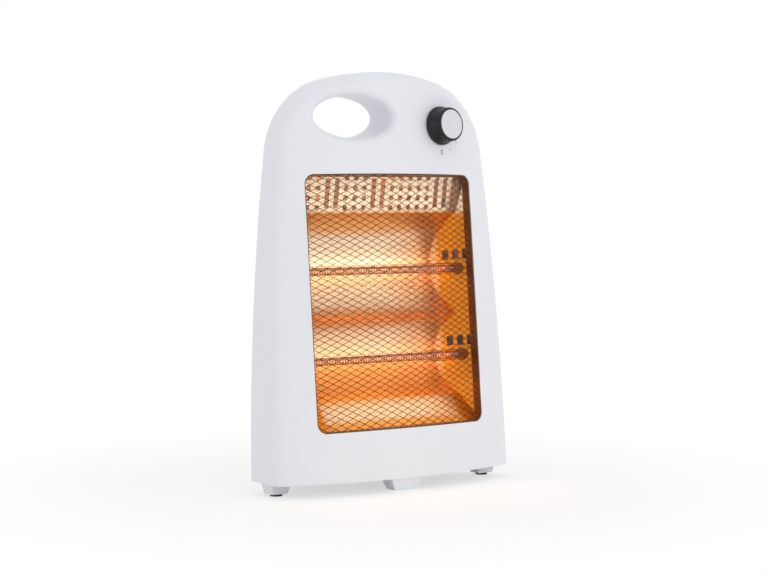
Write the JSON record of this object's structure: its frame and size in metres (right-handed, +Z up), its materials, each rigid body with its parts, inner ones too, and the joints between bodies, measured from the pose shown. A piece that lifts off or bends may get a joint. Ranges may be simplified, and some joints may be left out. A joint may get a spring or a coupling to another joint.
{
  "type": "space heater",
  "caption": "Upright electric quartz-tube space heater with a bowed, leaning front, wire guard, handle hole and dial.",
  "frame": {"origin": "on the floor, under the middle of the body", "axes": "the front with the window faces -Y, +X to the viewer's right, +Z up"},
  "size_m": [0.259, 0.108, 0.377],
  "materials": {
    "body_plastic": "satin moulded",
    "base_plastic": "moulded",
    "knob_plastic": "satin moulded",
    "cap_plastic": "satin moulded",
    "foot_rubber": "matte",
    "guard_steel": "dark enamel on steel wire",
    "reflector_sheet": "bright rolled",
    "quartz": "clear to milky fused quartz",
    "coil_wire": "drawn resistance wire",
    "cap_ceramic": "unglazed",
    "zinc_steel": "zinc plated",
    "switch_plastic": "moulded"
  },
  "bodies": {
    "housing": {"base_plate": "base_plastic", "base_screws": "zinc_steel", "bracket_screws": "zinc_steel", "cord_gland": "switch_plastic", "foot_pads": "foot_rubber", "front_shell": "body_plastic", "guard_frame": "reflector_sheet", "guard_mesh": "guard_steel", "heating_coil_lower": "coil_wire", "heating_coil_upper": "coil_wire", "plunger_spring": "zinc_steel", "quartz_tube_lower": "quartz", "quartz_tube_upper": "quartz", "rear_shell": "body_plastic", "reflector": "reflector_sheet", "reflector_end_left": "reflector_sheet", "reflector_end_right": "reflector_sheet", "reflector_screws": "zinc_steel", "rotary_switch_body": "switch_plastic", "shell_screws": "zinc_steel", "switch_screws": "zinc_steel", "thermal_cutout": "zinc_steel", "tip_switch_body": "switch_plastic", "tip_switch_bracket": "zinc_steel", "tube_cap_lower_left": "cap_ceramic", "tube_cap_lower_right": "cap_ceramic", "tube_cap_upper_left": "cap_ceramic", "tube_cap_upper_right": "cap_ceramic", "tube_terminals": "zinc_steel"},
    "selector": {"knob": "knob_plastic", "knob_cap": "cap_plastic", "switch_shaft": "zinc_steel"},
    "tip_plunger": {"plunger": "base_plastic"},
    "tip_button": {"tip_switch_button": "switch_plastic"}
  },
  "joints": [
    {"name": "selector_turn", "type": "hinge", "parent": "housing", "child": "selector", "pos_m": [0.0557, -0.01964, 0.32897], "axis": [0.1425, -0.9853, 0.0944], "range_deg": [-110, 0]},
    {"name": "tip_plunger_slide", "type": "slide", "parent": "housing", "child": "tip_plunger", "axis": [0, 0, 1], "range_m": [-0.006, 0], "stiffness_N_per_m": 150, "springref_m": -0.01, "deforming": ["plunger_spring"]},
    {"name": "tip_button_slide", "type": "slide", "parent": "housing", "child": "tip_button", "axis": [0, 0, 1], "range_m": [-0.0015, 0]}
  ],
  "couplings": [
    {"joint": "tip_button_slide", "follows": "tip_plunger_slide", "ratio": 0.25}
  ]
}
